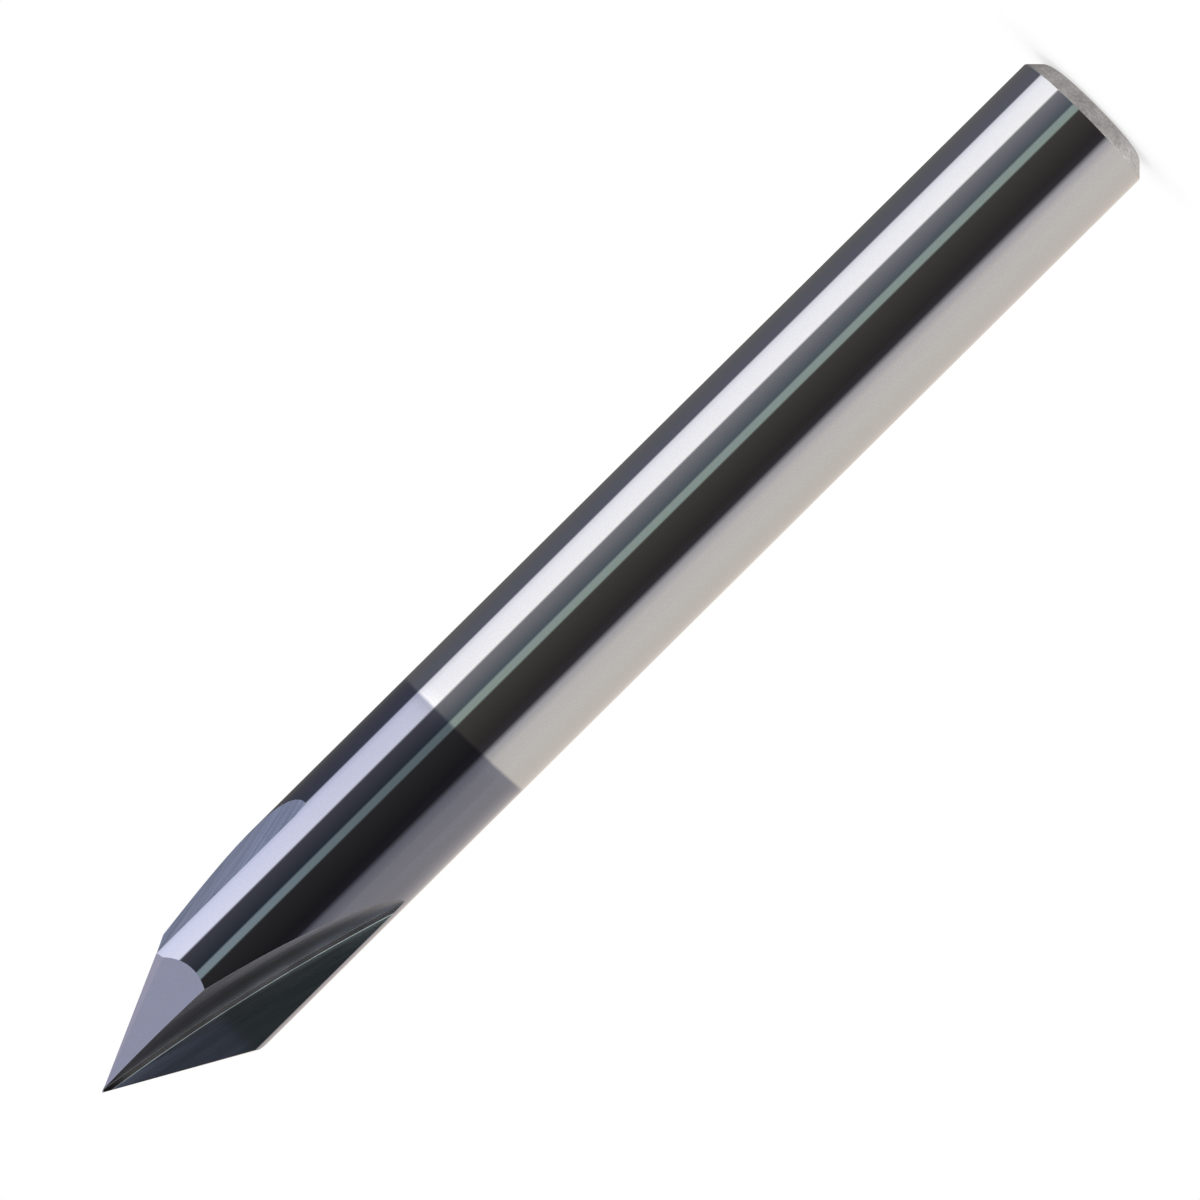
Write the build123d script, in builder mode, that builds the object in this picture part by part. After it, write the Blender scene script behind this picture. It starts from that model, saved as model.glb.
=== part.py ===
from build123d import *
from math import cos, degrees, radians, sin, sqrt, tan
import os

# Rod, in millimetres: one piece of carbide, standing on the shank's end face with its point up.
# The origin is the centre of that face, and the first cutting edge lies above +X.
shank_diameter = 6.0
overall_length = 51.5
end_chamfer = 0.6

# Point: straight cutting edges that cut clockwise as the spindle sees them
flute_count = 3
included_angle = 60.0

# Flutes: each one is the pass of a grinding wheel, whose flat side leaves the rake face and whose rim
# leaves the wall. The wheel starts just past the axis at the point and climbs out of the rod.
flute_length = 12.95
overcut_at_point = 0.06
wheel_radius = 77.0
wheel_corner_radius = 0.22
wheel_rim_taper = 1.8
wheel_side_clearance = 3.0

# Relief behind each edge: a narrow land, then a steeper flank down to the heel
primary_relief = 11.0
land_width = 0.38
secondary_relief = 31.7

shank_radius = shank_diameter / 2
tooth_angle = 360 / flute_count
point = Vector(0, 0, overall_length)

# Slope of a flank: how far it stands off the axis for each unit of depth below the point
edge_slope = tan(radians(included_angle / 2))
primary_slope = edge_slope * cos(radians(primary_relief))
land_angle = degrees(land_width / shank_radius)
land_end_slope = primary_slope / cos(radians(primary_relief - land_angle))
secondary_slope = land_end_slope * cos(radians(secondary_relief - land_angle))

# The wheel's rim meets the rake plane along an arc, from level with the point to the rod's surface
floor_start = point - Vector(overcut_at_point, 0, 0)
floor_end = point + Vector(shank_radius, 0, -flute_length)
floor_chord = floor_end - floor_start
outward = floor_chord.cross(Vector(0, 1, 0)).normalized()
centre_distance = sqrt(wheel_radius**2 - (floor_chord.length / 2) ** 2)
wheel_centre = floor_start + floor_chord / 2 + outward * centre_distance
wheel_width = shank_radius + wheel_side_clearance
rim_rise = wheel_width * tan(radians(wheel_rim_taper))


def flank_plane(azimuth, slope):
    """Plane through the point, facing out of the tooth at this azimuth."""
    facing = Vector(cos(radians(azimuth)), sin(radians(azimuth)), slope)
    return Plane(point, z_dir=facing)


# Grinding wheel that cuts the flute beside the first edge: flat side, rounded corner, tapered rim
with BuildPart() as flute_wheel:
    with BuildSketch(Plane(wheel_centre, x_dir=(-1, 0, 0), z_dir=(0, 0, -1))):
        with BuildLine():
            Polyline(
                (0, 0),
                (wheel_radius, 0),
                (wheel_radius + rim_rise, wheel_width),
                (0, wheel_width),
                close=True,
            )
        make_face()
        fillet(vertices().sort_by_distance((wheel_radius, 0))[0], radius=wheel_corner_radius)
    revolve(axis=Axis(wheel_centre, (0, 1, 0)))

with BuildPart() as router_bit:
    # Ground rod with its chamfered end
    with BuildSketch():
        Circle(shank_radius)
    extrude(amount=overall_length)
    chamfer(edges().sort_by(Axis.Z)[0], length=end_chamfer)

    # Two flanks behind each cutting edge, which together form the point
    for tooth in range(flute_count):
        edge_azimuth = tooth * tooth_angle
        split(bisect_by=flank_plane(edge_azimuth - primary_relief, primary_slope), keep=Keep.BOTTOM)
        split(bisect_by=flank_plane(edge_azimuth - secondary_relief, secondary_slope), keep=Keep.BOTTOM)

    # One flute in front of each cutting edge
    with PolarLocations(0, flute_count):
        add(flute_wheel.part, mode=Mode.SUBTRACT)

router_bit.part.label = "router_bit"

os.makedirs("parts", exist_ok=True)
export_step(router_bit.part, "parts/router_bit.step")
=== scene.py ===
from math import cos, pi, radians, sin, sqrt, tan

import bpy
from mathutils import Matrix, Vector


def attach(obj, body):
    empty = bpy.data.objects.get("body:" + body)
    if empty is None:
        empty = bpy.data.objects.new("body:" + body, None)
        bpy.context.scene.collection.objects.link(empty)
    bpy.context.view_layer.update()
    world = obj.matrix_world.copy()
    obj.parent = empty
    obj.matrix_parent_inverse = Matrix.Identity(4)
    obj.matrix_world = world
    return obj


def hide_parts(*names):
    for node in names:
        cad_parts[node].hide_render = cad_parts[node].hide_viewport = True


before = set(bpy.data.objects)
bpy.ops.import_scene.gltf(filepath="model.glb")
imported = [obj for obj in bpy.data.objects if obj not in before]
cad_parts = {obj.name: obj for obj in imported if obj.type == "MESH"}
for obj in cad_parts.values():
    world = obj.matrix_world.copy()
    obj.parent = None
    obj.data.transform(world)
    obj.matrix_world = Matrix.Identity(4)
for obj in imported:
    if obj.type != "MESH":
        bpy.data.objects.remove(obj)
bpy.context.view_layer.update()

mm = 0.001

# What counts as the same place, for finding points and for joining them
near = 0.001 * mm
same = 0.0001 * mm

# The rod, in metres: it stands on the shank's end face with its point up
shank_radius = 3.0 * mm
overall_length = 51.5 * mm
end_chamfer = 0.6 * mm
ring_reach = 0.1 * mm
inner_rounding = 0.22 * mm
outer_rounding = 0.05 * mm
rod_facets = 720
tooth_count = 3
tooth_pitch = 2 * pi / tooth_count
point = Vector((0, 0, overall_length))

# Relief behind each cutting edge: how far behind the edge each flank's plane faces out
edge_slope = tan(radians(30.0))
primary_relief = radians(11.0)
secondary_relief = radians(31.7)
land_width = 0.38 * mm

# The flutes and the wheel that grinds them. Its side is worn beside the corner: for each stretch, how far
# from the corner it begins and how steep it is. The sweep is the part of its turn that meets the rod.
flute_length = 12.95 * mm
overcut_at_point = 0.06 * mm
wheel_radius = 77.0 * mm
wheel_corner = 0.022 * mm
wheel_wear = ((0.12 * mm, radians(22.0)), (0.19 * mm, radians(7.5)))
wheel_rim_taper = radians(1.8)
wheel_width = 6.0 * mm
wheel_depth = 8.0 * mm
sweep_start = radians(184.0)
sweep_angle = radians(19.0)
corner_facets = 8
corner_reach = 0.01 * mm
sweep_facets = 95

# The coating ends on the shank along a soft and uneven line that lies a little out of square
coating_line = 32.69 * mm
coating_tilt = 0.0275
coating_tilt_azimuth = radians(-18.0)
coating_drift = 0.06 * mm
coating_softness = 0.09 * mm

# The camera faces the bit level with its middle, turned so that the rod lies corner to corner
camera_azimuth = radians(72.0)
camera_distance = 270.0 * mm
camera_height = 25.65 * mm
camera_offset = 0.012 * mm
camera_roll = radians(44.73)
camera_lens = 219.5
camera_sensor = 36.0
camera_clip = 10.0 * mm

# The white bench top, which lies just below the bit's end and shines a little by itself
floor_radius = 600 * mm
floor_drop = 0.02 * mm
floor_colour = (0.45, 0.45, 0.45, 1)
floor_roughness = 0.9
floor_glow = 0.6


def make_active(piece):
    """Selects this piece alone, as the one that the next tool works on."""
    bpy.ops.object.select_all(action="DESELECT")
    piece.select_set(True)
    bpy.context.view_layer.objects.active = piece


def break_ring(piece, height, width, segments):
    """Breaks the corner that runs round the piece at this height."""
    bpy.ops.object.mode_set(mode="EDIT")
    bpy.ops.mesh.select_mode(type="EDGE")
    bpy.ops.mesh.select_all(action="DESELECT")
    bpy.ops.object.mode_set(mode="OBJECT")
    points = piece.data.vertices
    for edge in piece.data.edges:
        first, last = (points[i].co for i in edge.vertices)
        edge.select = abs(first.z - last.z) < near and abs(first.z - height) < ring_reach
    bpy.ops.object.mode_set(mode="EDIT")
    bpy.ops.mesh.bevel(offset=width, offset_type="OFFSET", segments=segments, affect="EDGES")
    bpy.ops.object.mode_set(mode="OBJECT")


def apply_modifier(piece, kind, **settings):
    """Adds a modifier with its settings and applies it at once."""
    make_active(piece)
    modifier = piece.modifiers.new(kind.title(), kind)
    for name, value in settings.items():
        setattr(modifier, name, value)
    bpy.ops.object.modifier_apply(modifier=modifier.name)


def ground_rod():
    """Centreless ground rod with a chamfer on its lower end, each corner of it slightly rounded."""
    bpy.ops.mesh.primitive_cylinder_add(
        vertices=rod_facets,
        radius=shank_radius,
        depth=overall_length,
        location=point / 2,
        rotation=(0, 0, pi / rod_facets),
    )
    rod = bpy.context.object
    rod.name = "carbide_router_bit"
    bpy.ops.object.transform_apply(location=True, rotation=True, scale=True)
    break_ring(rod, 0.0, end_chamfer, segments=1)
    break_ring(rod, 0.0, inner_rounding, segments=8)
    break_ring(rod, end_chamfer, outer_rounding, segments=6)
    return rod


def grind_flank(rod, azimuth, slope):
    """Takes off what stands outside a plane through the point, facing out at this azimuth."""
    make_active(rod)
    bpy.ops.object.mode_set(mode="EDIT")
    bpy.ops.mesh.select_all(action="SELECT")
    bpy.ops.mesh.bisect(
        plane_co=point,
        plane_no=(cos(azimuth), sin(azimuth), slope),
        use_fill=True,
        clear_outer=True,
        threshold=same,
    )
    bpy.ops.object.mode_set(mode="OBJECT")


def grind_point(rod):
    """A narrow land and a steeper flank behind each of the cutting edges."""
    primary_slope = edge_slope * cos(primary_relief)
    land_angle = land_width / shank_radius
    land_end_slope = primary_slope / cos(primary_relief - land_angle)
    secondary_slope = land_end_slope * cos(secondary_relief - land_angle)
    for tooth in range(tooth_count):
        edge = tooth * tooth_pitch
        grind_flank(rod, edge - primary_relief, primary_slope)
        grind_flank(rod, edge - secondary_relief, secondary_slope)


def wheel_axis():
    """Centre of the wheel that grinds the flute beside the first edge."""
    start = point - Vector((overcut_at_point, 0, 0))
    end = point + Vector((shank_radius, 0, -flute_length))
    chord = end - start
    outward = chord.cross(Vector((0, 1, 0))).normalized()
    return start + chord / 2 + outward * sqrt(wheel_radius**2 - (chord.length / 2) ** 2)


def dressed_wheel():
    """The part of the wheel that meets the rod: flat side, rounded corner and tapered rim."""
    centre = wheel_axis()
    bpy.ops.mesh.primitive_plane_add(size=1, location=(0, 0, 0))
    wheel = bpy.context.object
    wheel.name = "flute_wheel"

    # The plane becomes the profile, with its near edge on the flat side and its outer edge on the rim
    outward = Vector((cos(sweep_start), 0, sin(sweep_start)))
    rim_rise = wheel_width * tan(wheel_rim_taper)
    for corner in wheel.data.vertices:
        outer = corner.co.x > 0
        far = corner.co.y > 0
        reach = wheel_radius if outer else wheel_radius - wheel_depth
        if outer and far:
            reach += rim_rise
        corner.co = centre + outward * reach + Vector((0, wheel_width if far else 0, 0))
    cutting_corner = centre + outward * wheel_radius

    # The side is worn beside its corner: steeply at the corner itself, and gently before that
    edge_height = 0.0
    inner_slope = 0.0
    for distance, slope in reversed(wheel_wear):
        bpy.ops.object.mode_set(mode="EDIT")
        bpy.ops.mesh.select_all(action="SELECT")
        bpy.ops.mesh.bisect(plane_co=cutting_corner - outward * distance, plane_no=outward)
        bpy.ops.object.mode_set(mode="OBJECT")
        edge_height += distance * (tan(slope) - tan(inner_slope))
        inner_slope = slope
        for corner in wheel.data.vertices:
            on_side = corner.co.y < wheel_width / 2
            if on_side and (corner.co - centre).dot(outward) > wheel_radius - near:
                corner.co.y = edge_height
    for corner in wheel.data.vertices:
        corner.select = (corner.co - cutting_corner).length < edge_height + corner_reach
    bpy.ops.object.mode_set(mode="EDIT")
    bpy.ops.mesh.select_mode(type="VERT")

    # The corner between side and rim is dressed round. It is open, so it begins nearer than its radius.
    bpy.ops.mesh.bevel(
        offset=wheel_corner * 0.9,
        offset_type="OFFSET",
        segments=corner_facets,
        profile=0.5,
        affect="VERTICES",
    )

    # Its sweep past the rod
    bpy.ops.mesh.select_all(action="SELECT")
    bpy.ops.mesh.spin(
        steps=sweep_facets,
        angle=sweep_angle,
        use_normal_flip=False,
        center=centre,
        axis=(0, 1, 0),
    )
    bpy.ops.mesh.select_all(action="SELECT")
    bpy.ops.mesh.remove_doubles(threshold=same)
    bpy.ops.mesh.select_mode(type="EDGE")
    bpy.ops.mesh.select_all(action="DESELECT")
    bpy.ops.mesh.select_non_manifold(extend=False)
    bpy.ops.mesh.edge_face_add()
    bpy.ops.mesh.select_all(action="SELECT")
    bpy.ops.mesh.normals_make_consistent(inside=False)
    bpy.ops.object.mode_set(mode="OBJECT")
    return wheel


def grind_flutes(rod, wheel_marks):
    """One pass of the wheel in front of each cutting edge, each leaving its own marks."""
    first_wheel = dressed_wheel()
    for tooth in range(tooth_count):
        wheel = first_wheel.copy()
        wheel.data = first_wheel.data.copy()
        wheel.data.transform(Matrix.Rotation(tooth * tooth_pitch, 4, "Z"))
        wheel.data.materials.append(wheel_marks[tooth])
        bpy.context.scene.collection.objects.link(wheel)
        apply_modifier(
            rod,
            "BOOLEAN",
            operation="DIFFERENCE",
            solver="EXACT",
            material_mode="TRANSFER",
            object=wheel,
        )
        bpy.data.objects.remove(wheel)
    bpy.data.objects.remove(first_wheel)


def add_node(tree, kind, inputs=None, **settings):
    """A node with its settings, whose inputs are given as values or as sockets to link."""
    node = tree.nodes.new(kind)
    for name, value in settings.items():
        setattr(node, name, value)
    for name, value in (inputs or {}).items():
        if isinstance(value, bpy.types.NodeSocket):
            tree.links.new(value, node.inputs[name])
        else:
            node.inputs[name].default_value = value
    return node


def split_axes(tree, place):
    return add_node(tree, "ShaderNodeSeparateXYZ", {"Vector": place}).outputs


def math(tree, operation, *values):
    return add_node(tree, "ShaderNodeMath", dict(enumerate(values)), operation=operation).outputs[0]


def ramp(tree, value, low, high, bottom=0.0, top=1.0):
    """Smooth step of a value between two levels."""
    levels = {"Value": value, "From Min": low, "From Max": high, "To Min": bottom, "To Max": top}
    node = add_node(tree, "ShaderNodeMapRange", levels, interpolation_type="SMOOTHSTEP")
    return node.outputs["Result"]


def wander(tree, pattern, spread, low, high):
    """Value that wanders between two levels with a noise, most of which keeps within the spread."""
    return ramp(tree, pattern, 0.5 - spread, 0.5 + spread, low, high)


def blend_colour(tree, factor, first, second, blend_type="MIX"):
    """A mix node for colours, whose factor and colours are its inputs 0, 6 and 7."""
    inputs = {0: factor, 6: first, 7: second}
    return add_node(tree, "ShaderNodeMix", inputs, data_type="RGBA", blend_type=blend_type).outputs[2]


def tint(tree, colour, shade):
    """A colour made lighter and darker by a value around one."""
    return blend_colour(tree, 1.0, colour, shade, "MULTIPLY")


def noise(tree, place, scale, detail=2.0):
    """A soft random pattern with values around one half."""
    inputs = {"Vector": place, "Scale": scale, "Detail": detail}
    return add_node(tree, "ShaderNodeTexNoise", inputs).outputs["Fac"]


def stretched(tree, place, scale):
    """The same place with each axis scaled by itself, to draw a pattern out."""
    node = add_node(tree, "ShaderNodeMapping", {"Vector": place, "Scale": scale})
    return node.outputs["Vector"]


def bump(tree, height, depth):
    """Fine relief of this depth, for what is finer than the shape."""
    inputs = {"Height": height, "Distance": depth, "Strength": 1.0}
    return add_node(tree, "ShaderNodeBump", inputs).outputs["Normal"]


def new_finish(name):
    """An empty material, its node tree and the place on the piece."""
    finish = bpy.data.materials.new(name)
    finish.use_nodes = True
    tree = finish.node_tree
    tree.nodes.clear()
    place = add_node(tree, "ShaderNodeTexCoord").outputs["Object"]
    return finish, tree, place


def metal(tree, colour, roughness, normal):
    """Ends a material's node tree with the shader of bare or coated metal."""
    inputs = {"Base Color": colour, "Metallic": 1.0, "Roughness": roughness, "Normal": normal}
    shader = add_node(tree, "ShaderNodeBsdfPrincipled", inputs)
    output = add_node(tree, "ShaderNodeOutputMaterial")
    tree.links.new(shader.outputs["BSDF"], output.inputs["Surface"])


# Metal and film, with painted light on the flutes: a darker, greener painted reflection on the run-out half
# of each rake face, and two painted highlights in the root, on the worn corner's line beside the rake face
# and in the hollow behind it.
bare_carbide = (0.52, 0.515, 0.505, 1)
dark_coating = (0.215, 0.22, 0.26, 1)
run_out_film_and_painted_reflection = (0.142, 0.156, 0.151, 1)
root_line_painted_highlight = (0.48, 0.435, 0.462, 1)
root_hollow_painted_highlight = (0.52, 0.52, 0.515, 1)

# The film on each flute's wall, beside the root, in the middle and beside the heel, with painted light and
# shade in it that differ from flute to flute
root_side_film_and_painted_light = ((0.165, 0.157, 0.14, 1), (0.25, 0.265, 0.31, 1), (0.165, 0.157, 0.14, 1))
mid_wall_film_and_painted_light = ((0.19, 0.177, 0.17, 1), (0.222, 0.23, 0.275, 1), (0.2, 0.2, 0.225, 1))
heel_film_and_painted_light = ((0.5, 0.475, 0.5, 1), (0.2, 0.205, 0.24, 1), (0.3, 0.3, 0.33, 1))

# Where a flute's finish and its painted light change, as the beginning and the end of each change. Heights
# off
# the rake face:
root_begins = (0.0004 * mm, 0.0015 * mm)
hollow_begins = (0.0085 * mm, 0.0105 * mm)
marks_deepen = (0.02 * mm, 0.2 * mm)
wall_begins = (0.045 * mm, 0.06 * mm)
grooves_and_shading_end = (0.3 * mm, 0.62 * mm)
heel_light_begins = (1.1 * mm, 2.6 * mm)

# Heights above the shank's end:
run_out_ends = (40.6 * mm, 41.8 * mm)
root_shine_ends = (43.5 * mm, 46.0 * mm)
heel_light_fades = (44.5 * mm, 47.0 * mm)
run_out_reflection_ends = (45.9 * mm, 46.9 * mm)
root_line_ends = (50.1 * mm, 51.2 * mm)

# Depths below the wheel's rim, which leaves the root, where the painted light on the rake face beside the
# root
# begins and ends:
root_glow = (0.8 * mm, 0.19 * mm)
root_shine = (0.38 * mm, 0.2 * mm)

# How fine the patterns in the finishes are, in features to the metre
film_drift = 700.0
polishing_rings = (600, 600, 24000)
grain_of_carbide = 16000.0
coarse_specks = 9000.0
coarse_blotches = 1500.0
fine_marks = 22000.0
wall_streaks = 9000.0
broad_marks = 5000.0
root_glints = (0, 0, 600)

# The wheel's marks hardly change along its sweep: so much of the height goes into their pattern
mark_change = 0.03

# How deep the patterns are
polishing_depth = 0.00003 * mm
speck_depth = 0.003 * mm
wheel_mark_depth = 0.0006 * mm

# Levels between which the patterns darken and lighten the metal and the film
polished_grain = (0.965, 1.03)
speck_shades = (0.84, 1.08)
blotch_shades = (0.87, 1.08)
film_grain = (0.94, 1.04)
fine_mark_shades = (0.92, 1.06)
face_streak_shades = (0.9, 1.08)
wall_streak_shades = (0.85, 1.13)
broad_mark_shades = (0.8, 1.2)
glint_shades = (-0.22, 0.14)

# Levels between which the roughness changes
polished_roughness = (0.026, 0.034)
rough_ground_roughness = (0.5, 0.38)
rake_face_roughness = (0.13, 0.16)
wall_is_rougher = 0.23

# How much painted light brightens the rake face beside the root, at the run-out and towards the point
glow_levels = (1.7, 0.8)
shine_levels = (2.8, 0.4)

# How much of the painted light at the wall's heel is left towards the point, and how much the root's
# painted highlight line loses there
heel_light_at_point = 0.45
line_loss = -0.62


def polished_and_coated():
    """Ground and polished carbide up to the coating's line, and the dark coating beyond it."""
    finish, tree, place = new_finish("polished_carbide_with_coated_head")
    axes = split_axes(tree, place)
    tilt_x = coating_tilt * cos(coating_tilt_azimuth)
    tilt_y = coating_tilt * sin(coating_tilt_azimuth)
    slant = math(tree, "MULTIPLY", axes["X"], tilt_x)
    slant = math(tree, "MULTIPLY_ADD", axes["Y"], tilt_y, slant)
    level = math(tree, "ADD", axes["Z"], slant)
    level = math(tree, "MULTIPLY_ADD", noise(tree, place, film_drift, 3.0), coating_drift, level)
    line = coating_line + coating_drift / 2
    coated = ramp(tree, level, line - coating_softness, line + coating_softness)

    rings = noise(tree, stretched(tree, place, polishing_rings), 1.0, 3.0)
    grain = noise(tree, place, grain_of_carbide)
    colour = blend_colour(tree, coated, bare_carbide, dark_coating)
    colour = tint(tree, colour, wander(tree, grain, 0.25, *polished_grain))
    roughness = wander(tree, rings, 0.2, *polished_roughness)
    height = math(tree, "MULTIPLY_ADD", grain, 0.4, rings)
    metal(tree, colour, roughness, bump(tree, height, polishing_depth))
    return finish


def rough_ground():
    """The shank's end and its chamfer, dull and speckled as a coarse wheel leaves them."""
    finish, tree, place = new_finish("rough_ground_carbide_end")
    specks = noise(tree, place, coarse_specks, 3.0)
    blotches = noise(tree, place, coarse_blotches, 3.0)
    shade = wander(tree, specks, 0.2, *speck_shades)
    shade = math(tree, "MULTIPLY", shade, wander(tree, blotches, 0.15, *blotch_shades))
    roughness = wander(tree, specks, 0.2, *rough_ground_roughness)
    metal(tree, tint(tree, bare_carbide, shade), roughness, bump(tree, specks, speck_depth))
    return finish


def wheel_marked(tooth):
    """Coated flute with the fine lines that the wheel's sweep leaves along it, and painted light and shade.
    """
    finish, tree, place = new_finish(f"coated_flute_{tooth + 1}")

    # The flute's own axes: turned to the first flute, Y is the height off the rake face
    turned = add_node(
        tree,
        "ShaderNodeMapping",
        {"Vector": place, "Rotation": (0, 0, -tooth * tooth_pitch)},
        vector_type="POINT",
    ).outputs["Vector"]
    axes = split_axes(tree, turned)
    off_face = axes["Y"]
    level = axes["Z"]

    # The wheel's marks run round its own centre
    centre = wheel_axis()
    across = math(tree, "POWER", math(tree, "SUBTRACT", axes["X"], centre.x), 2.0)
    along = math(tree, "POWER", math(tree, "SUBTRACT", level, centre.z), 2.0)
    reach = math(tree, "SQRT", math(tree, "ADD", across, along))
    sweep = math(tree, "MULTIPLY", level, mark_change)
    track = add_node(tree, "ShaderNodeCombineXYZ", {"X": reach, "Y": off_face, "Z": sweep}).outputs[0]
    fine = noise(tree, track, fine_marks)
    broad = noise(tree, track, broad_marks)
    streaks = noise(tree, track, wall_streaks, 3.0)
    grain = noise(tree, place, grain_of_carbide)

    root = ramp(tree, off_face, *root_begins)
    hollow = ramp(tree, off_face, *hollow_begins)
    wall = ramp(tree, off_face, *wall_begins)
    grooved_and_shaded = ramp(tree, off_face, *grooves_and_shading_end, 1.0, 0.0)
    # Painted light beside the wall's heel, fading towards the point
    heel_light = math(
        tree,
        "MULTIPLY",
        ramp(tree, off_face, *heel_light_begins),
        ramp(tree, level, *heel_light_fades, 1.0, heel_light_at_point),
    )

    # Colour of the film from the rake face over the root and up the wall, with painted reflection,
    # highlights, light and shade in it
    # Painted reflection: the rake face is darker and greener on its run-out half
    run_out_reflection = ramp(tree, level, *run_out_reflection_ends, 1.0, 0.0)
    colour = blend_colour(tree, run_out_reflection, dark_coating, run_out_film_and_painted_reflection)
    # Painted highlights: a light line along the root beside the rake face, and a lighter hollow behind it
    colour = blend_colour(tree, root, colour, root_line_painted_highlight)
    colour = blend_colour(tree, hollow, colour, root_hollow_painted_highlight)
    # Painted light and shade on the wall, beside the root, in the middle and beside the heel, different for
    # each flute
    wall_film_and_painted_light = blend_colour(tree, grooved_and_shaded, mid_wall_film_and_painted_light[tooth], root_side_film_and_painted_light[tooth])
    wall_film_and_painted_light = blend_colour(tree, heel_light, wall_film_and_painted_light, heel_film_and_painted_light[tooth])
    colour = blend_colour(tree, wall, colour, wall_film_and_painted_light)

    # Grain and fine marks everywhere, streaks on face and wall, and broader marks low on the wall
    grain_shade = wander(tree, grain, 0.25, *film_grain)
    shade = math(tree, "MULTIPLY", grain_shade, wander(tree, fine, 0.2, *fine_mark_shades))
    face_streaks = wander(tree, streaks, 0.2, *face_streak_shades)
    streaks_on_wall = wander(tree, streaks, 0.2, *wall_streak_shades)
    streak_shade = blend_colour(tree, wall, face_streaks, streaks_on_wall)
    groove_shade = wander(tree, broad, 0.15, *broad_mark_shades)
    in_grooves = math(tree, "MULTIPLY", wall, grooved_and_shaded)
    streak_shade = blend_colour(tree, in_grooves, streak_shade, groove_shade)
    shade = math(tree, "MULTIPLY", shade, streak_shade)

    # Painted light: the rake face is painted lighter towards the root, most of all at the run-out
    glow_begin, glow_end = (wheel_radius - depth for depth in root_glow)
    shine_begin, shine_end = (wheel_radius - depth for depth in root_shine)
    beside_root = ramp(tree, reach, glow_begin, glow_end)
    close_to_root = ramp(tree, reach, shine_begin, shine_end)
    painted_root_light = math(tree, "MULTIPLY", beside_root, ramp(tree, level, *run_out_ends, *glow_levels))
    close_shine = ramp(tree, level, *root_shine_ends, *shine_levels)
    painted_root_light = math(tree, "MULTIPLY_ADD", close_to_root, close_shine, painted_root_light)
    painted_root_light = math(tree, "MULTIPLY_ADD", painted_root_light, math(tree, "SUBTRACT", 1.0, root), 1.0)
    shade = math(tree, "MULTIPLY", shade, painted_root_light)

    # The root's painted highlight line glints unevenly and fades near the point
    glint = noise(tree, stretched(tree, turned, root_glints), 1.0)
    glint = wander(tree, glint, 0.15, *glint_shades)
    glint = math(tree, "ADD", glint, ramp(tree, level, *root_line_ends, 0.0, line_loss))
    on_line = math(tree, "SUBTRACT", root, wall)
    shade = math(tree, "MULTIPLY", shade, math(tree, "MULTIPLY_ADD", on_line, glint, 1.0))

    roughness = wander(tree, broad, 0.2, *rake_face_roughness)
    roughness = math(tree, "MULTIPLY_ADD", wall, wall_is_rougher, roughness)
    height = math(tree, "MULTIPLY_ADD", broad, 1.5, fine)
    height = math(tree, "MULTIPLY", height, ramp(tree, off_face, *marks_deepen, 0.3, 1.0))
    metal(tree, tint(tree, colour, shade), roughness, bump(tree, height, wheel_mark_depth))
    return finish


def carbide_router_bit():
    """The whole bit, ground from one rod in the order of the shop: rod, point, flutes."""
    rod = ground_rod()
    grind_point(rod)
    rod.data.materials.append(polished_and_coated())
    rod.data.materials.append(rough_ground())
    for face in rod.data.polygons:
        if face.center.z < end_chamfer + ring_reach and face.normal.z < -0.1:
            face.material_index = 1
    grind_flutes(rod, [wheel_marked(tooth) for tooth in range(tooth_count)])
    make_active(rod)
    bpy.ops.object.shade_smooth_by_angle(angle=radians(10.0))
    apply_modifier(rod, "WEIGHTED_NORMAL", mode="FACE_AREA", weight=50, keep_sharp=True)
    return rod


# What the polished metal sees around it, anticlockwise from the first azimuth. For each screen: the azimuth
# where it ends and how softly, in degrees, its colour where it begins and where it ends, and how many times
# as bright it is level with the coated head and level with the point.
screens_begin = -108.0
screens = (
    ("glow low on the wall", -50.0, 12.0, (0.89, 0.80, 0.73), (0.916, 0.85, 0.80), 1.09, 0.95),
    ("warm wall", -12.0, 0.0, (0.932, 0.881, 0.843), (0.95, 0.915, 0.89), 0.92, 0.8),
    ("pale wall", 12.0, 0.0, (0.95, 0.915, 0.89), (0.90, 0.87, 0.87), 0.83, 0.9),
    ("shaded end of the wall", 30.5, 4.0, (0.91, 0.88, 0.88), (0.62, 0.615, 0.66), 0.78, 0.78),
    ("edge of the black screen", 46.0, 0.0, (0.055, 0.051, 0.063), (0.044, 0.041, 0.042), 1.03, 1.03),
    ("black screen", 87.9, 0.9, (0.044, 0.041, 0.042), (0.088, 0.083, 0.078), 1.03, 1.03),
    ("green screen", 98.8, 0.8, (0.43, 0.54, 0.515), (0.435, 0.54, 0.53), 1.0, 1.9),
    ("slate screen", 130.4, 1.2, (0.125, 0.157, 0.195), (0.32, 0.32, 0.36), 0.67, 0.67),
    ("white card", 160.0, 0.0, (1.67, 1.68, 1.74), (1.53, 1.55, 1.7), 1.55, 1.88),
    ("edge of the white card", 171.8, 1.6, (1.53, 1.55, 1.7), (1.25, 1.27, 1.43), 1.55, 1.88),
    ("dark wall", 252.0, 8.0, (0.165, 0.18, 0.24), (0.165, 0.155, 0.145), 1.0, 1.0),
)

# Between which heights, as the sine of the elevation, the screens change to those levels
head_begins = (0.0259, 0.0280)
point_begins = (0.03, 0.08)

# What it sees above the screens: for each band, between which heights it takes over, and its colour
upper_bands = (
    ("haze", (0.29, 0.335), (0.62, 0.70, 0.90)),
    ("bluish ceiling", (0.34, 0.42), (0.825, 1.0, 1.35)),
    ("rosy ceiling", (0.5, 0.65), (1.38, 1.32, 1.48)),
    ("light overhead", (0.75, 0.8), (1.2, 1.22, 1.42)),
)

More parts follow.
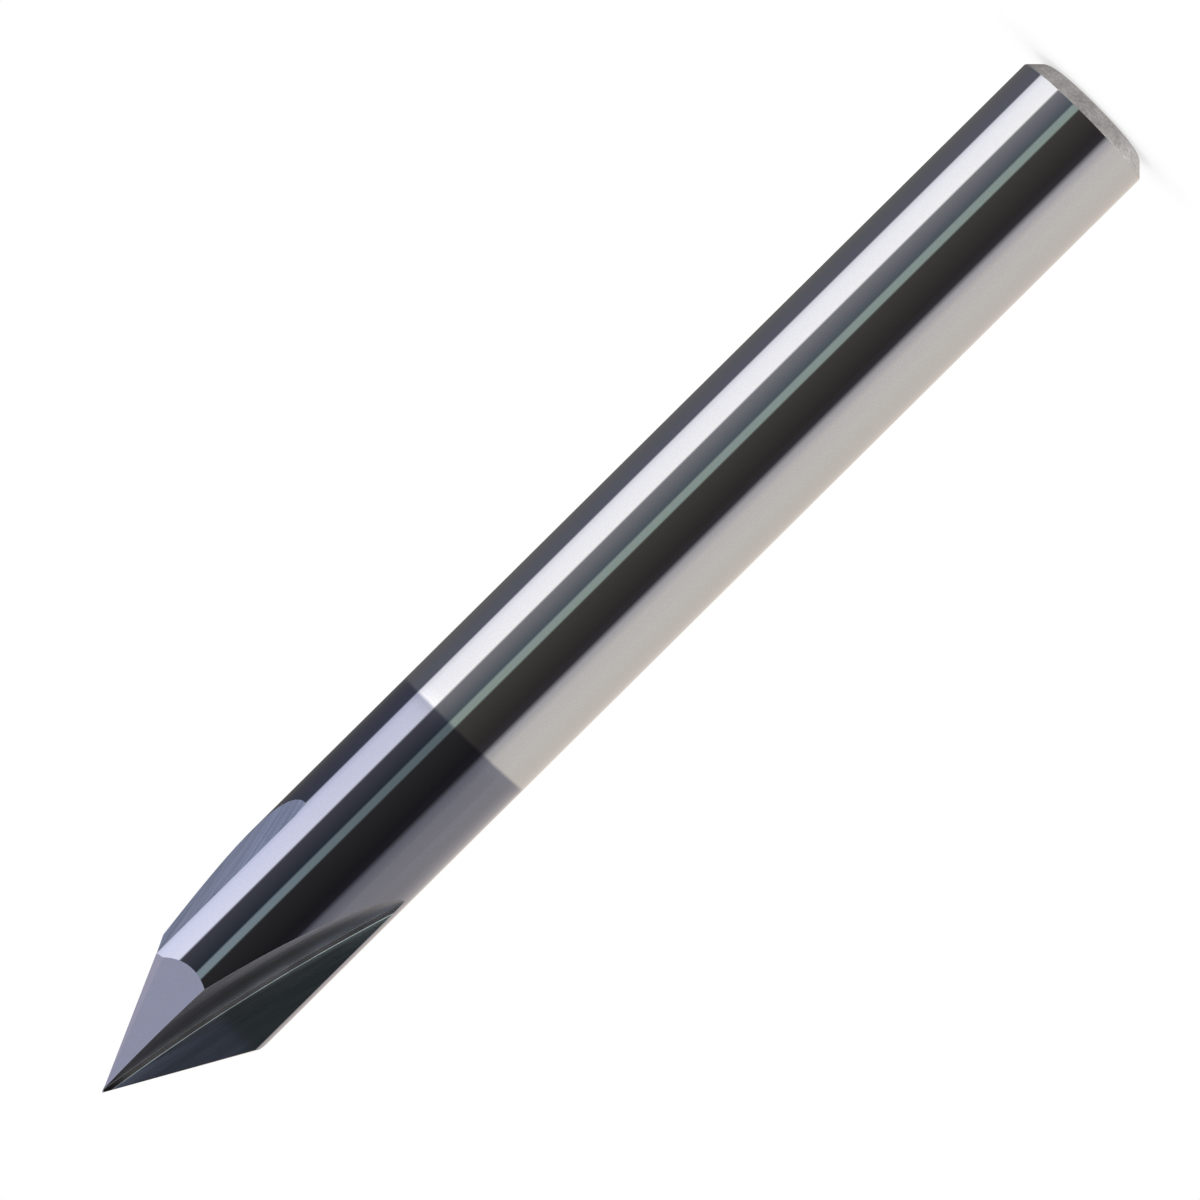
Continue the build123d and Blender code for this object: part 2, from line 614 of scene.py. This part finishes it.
# And below them: a bench, which is lit on the side of the wall
bench_begins = (-0.25, -0.6)
bench_colour = (0.67, 0.645, 0.64)
lit_bench_colour = (1.3, 1.26, 1.25)
lit_side = (0.95, -0.31)
lit_bench_aside = (0.1, 0.5)
lit_bench_begins = (-0.95, -0.6)

# The room's colours are divided by this, and the background's strength makes up for it
brightest = 3.5


def room_colour(colour, shade=1.0):
    """A colour of the room made brighter or darker, as the ramps and blends hold it."""
    return (*(c * (shade / brightest) for c in colour), 1)


def screen_ring(tree, turn, level):
    """Colours of the screens all the way round, level with the shank, the head or the point."""
    node = add_node(tree, "ShaderNodeValToRGB", {"Fac": turn})
    stops = node.color_ramp.elements
    places = []
    begin = screens_begin
    soft_begin = screens[-1][2]
    for name, end, soft_end, first, last, at_head, at_point in screens:
        shade = (1.0, at_head, at_point)[level]
        places.append((begin + soft_begin, room_colour(first, shade)))
        places.append((end - soft_end, room_colour(last, shade)))
        begin = end
        soft_begin = soft_end
    joint = [(a + b) / 2 for a, b in zip(places[0][1], places[-1][1])]
    places = [(screens_begin, joint), *places, (screens_begin + 360.0, joint)]
    while len(stops) < len(places):
        stops.new(1.0)
    for stop, (azimuth, colour) in zip(stops, places):
        stop.position = (azimuth - screens_begin) / 360.0
        stop.color = colour
    return node.outputs["Color"]


def studio():
    """White surroundings for the camera, and a ring of screens that only the metal reflects."""
    world = bpy.context.scene.world or bpy.data.worlds.new("studio")
    bpy.context.scene.world = world
    world.use_nodes = True
    tree = world.node_tree
    tree.nodes.clear()
    direction = add_node(tree, "ShaderNodeTexCoord").outputs["Generated"]
    axes = split_axes(tree, direction)
    height = axes["Z"]
    azimuth = math(tree, "ARCTAN2", axes["Y"], axes["X"])
    turn = math(tree, "MULTIPLY_ADD", azimuth, 0.5 / pi, 1.0 - screens_begin / 360.0)
    turn = math(tree, "FRACT", turn)
    around = screen_ring(tree, turn, 0)
    around = blend_colour(tree, ramp(tree, height, *head_begins), around, screen_ring(tree, turn, 1))
    around = blend_colour(tree, ramp(tree, height, *point_begins), around, screen_ring(tree, turn, 2))
    for name, heights, colour in upper_bands:
        around = blend_colour(tree, ramp(tree, height, *heights), around, room_colour(colour))

    aside = math(tree, "MULTIPLY", axes["X"], lit_side[0])
    aside = math(tree, "MULTIPLY_ADD", axes["Y"], lit_side[1], aside)
    lit = math(
        tree,
        "MULTIPLY",
        ramp(tree, aside, *lit_bench_aside),
        ramp(tree, height, *lit_bench_begins),
    )
    below = blend_colour(tree, lit, room_colour(bench_colour), room_colour(lit_bench_colour))
    around = blend_colour(tree, ramp(tree, height, *bench_begins), around, below)

    room = add_node(tree, "ShaderNodeBackground", {"Color": around, "Strength": brightest})
    white = add_node(tree, "ShaderNodeBackground", {"Color": (1, 1, 1, 1), "Strength": 1.0})
    path = add_node(tree, "ShaderNodeLightPath")
    choice = add_node(tree, "ShaderNodeMixShader", {0: path.outputs["Is Glossy Ray"]})
    tree.links.new(white.outputs[0], choice.inputs[1])
    tree.links.new(room.outputs[0], choice.inputs[2])
    output = add_node(tree, "ShaderNodeOutputWorld")
    tree.links.new(choice.outputs[0], output.inputs["Surface"])


def pale_floor():
    """White bench top: bright enough to join the background, and still darker where the bit shades it."""
    bpy.ops.mesh.primitive_circle_add(
        vertices=96,
        radius=floor_radius,
        fill_type="NGON",
        location=(0, 0, -floor_drop),
    )
    floor = bpy.context.object
    floor.name = "floor"
    floor.visible_glossy = False
    finish = bpy.data.materials.new("white_bench")
    finish.use_nodes = True
    shader = finish.node_tree.nodes["Principled BSDF"]
    shader.inputs["Base Color"].default_value = floor_colour
    shader.inputs["Roughness"].default_value = floor_roughness
    shader.inputs["Specular IOR Level"].default_value = 0.0
    shader.inputs["Emission Color"].default_value = (1, 1, 1, 1)
    shader.inputs["Emission Strength"].default_value = floor_glow
    floor.data.materials.append(finish)


def camera():
    """The camera, with the bit's axis turned to the corner of its picture."""
    towards = Vector((cos(camera_azimuth), sin(camera_azimuth), 0))
    aside = Vector((sin(camera_azimuth), -cos(camera_azimuth), 0))
    down = Vector((0, 0, -1))
    right = down * cos(camera_roll) + aside * sin(camera_roll)
    up = down * sin(camera_roll) - aside * cos(camera_roll)
    place = Vector((0, 0, camera_height)) + towards * camera_distance + aside * camera_offset
    data = bpy.data.cameras.new("camera")
    data.lens = camera_lens
    data.sensor_width = camera_sensor
    data.clip_start = camera_clip
    view = bpy.data.objects.new("camera", data)
    bpy.context.scene.collection.objects.link(view)
    view.matrix_world = Matrix.Translation(place) @ Matrix((right, up, towards)).transposed().to_4x4()
    bpy.context.scene.camera = view


studio()
pale_floor()
camera()
bit = carbide_router_bit()
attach(bit, "root")
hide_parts("router_bit")

bpy.context.scene.view_settings.view_transform = "Standard"
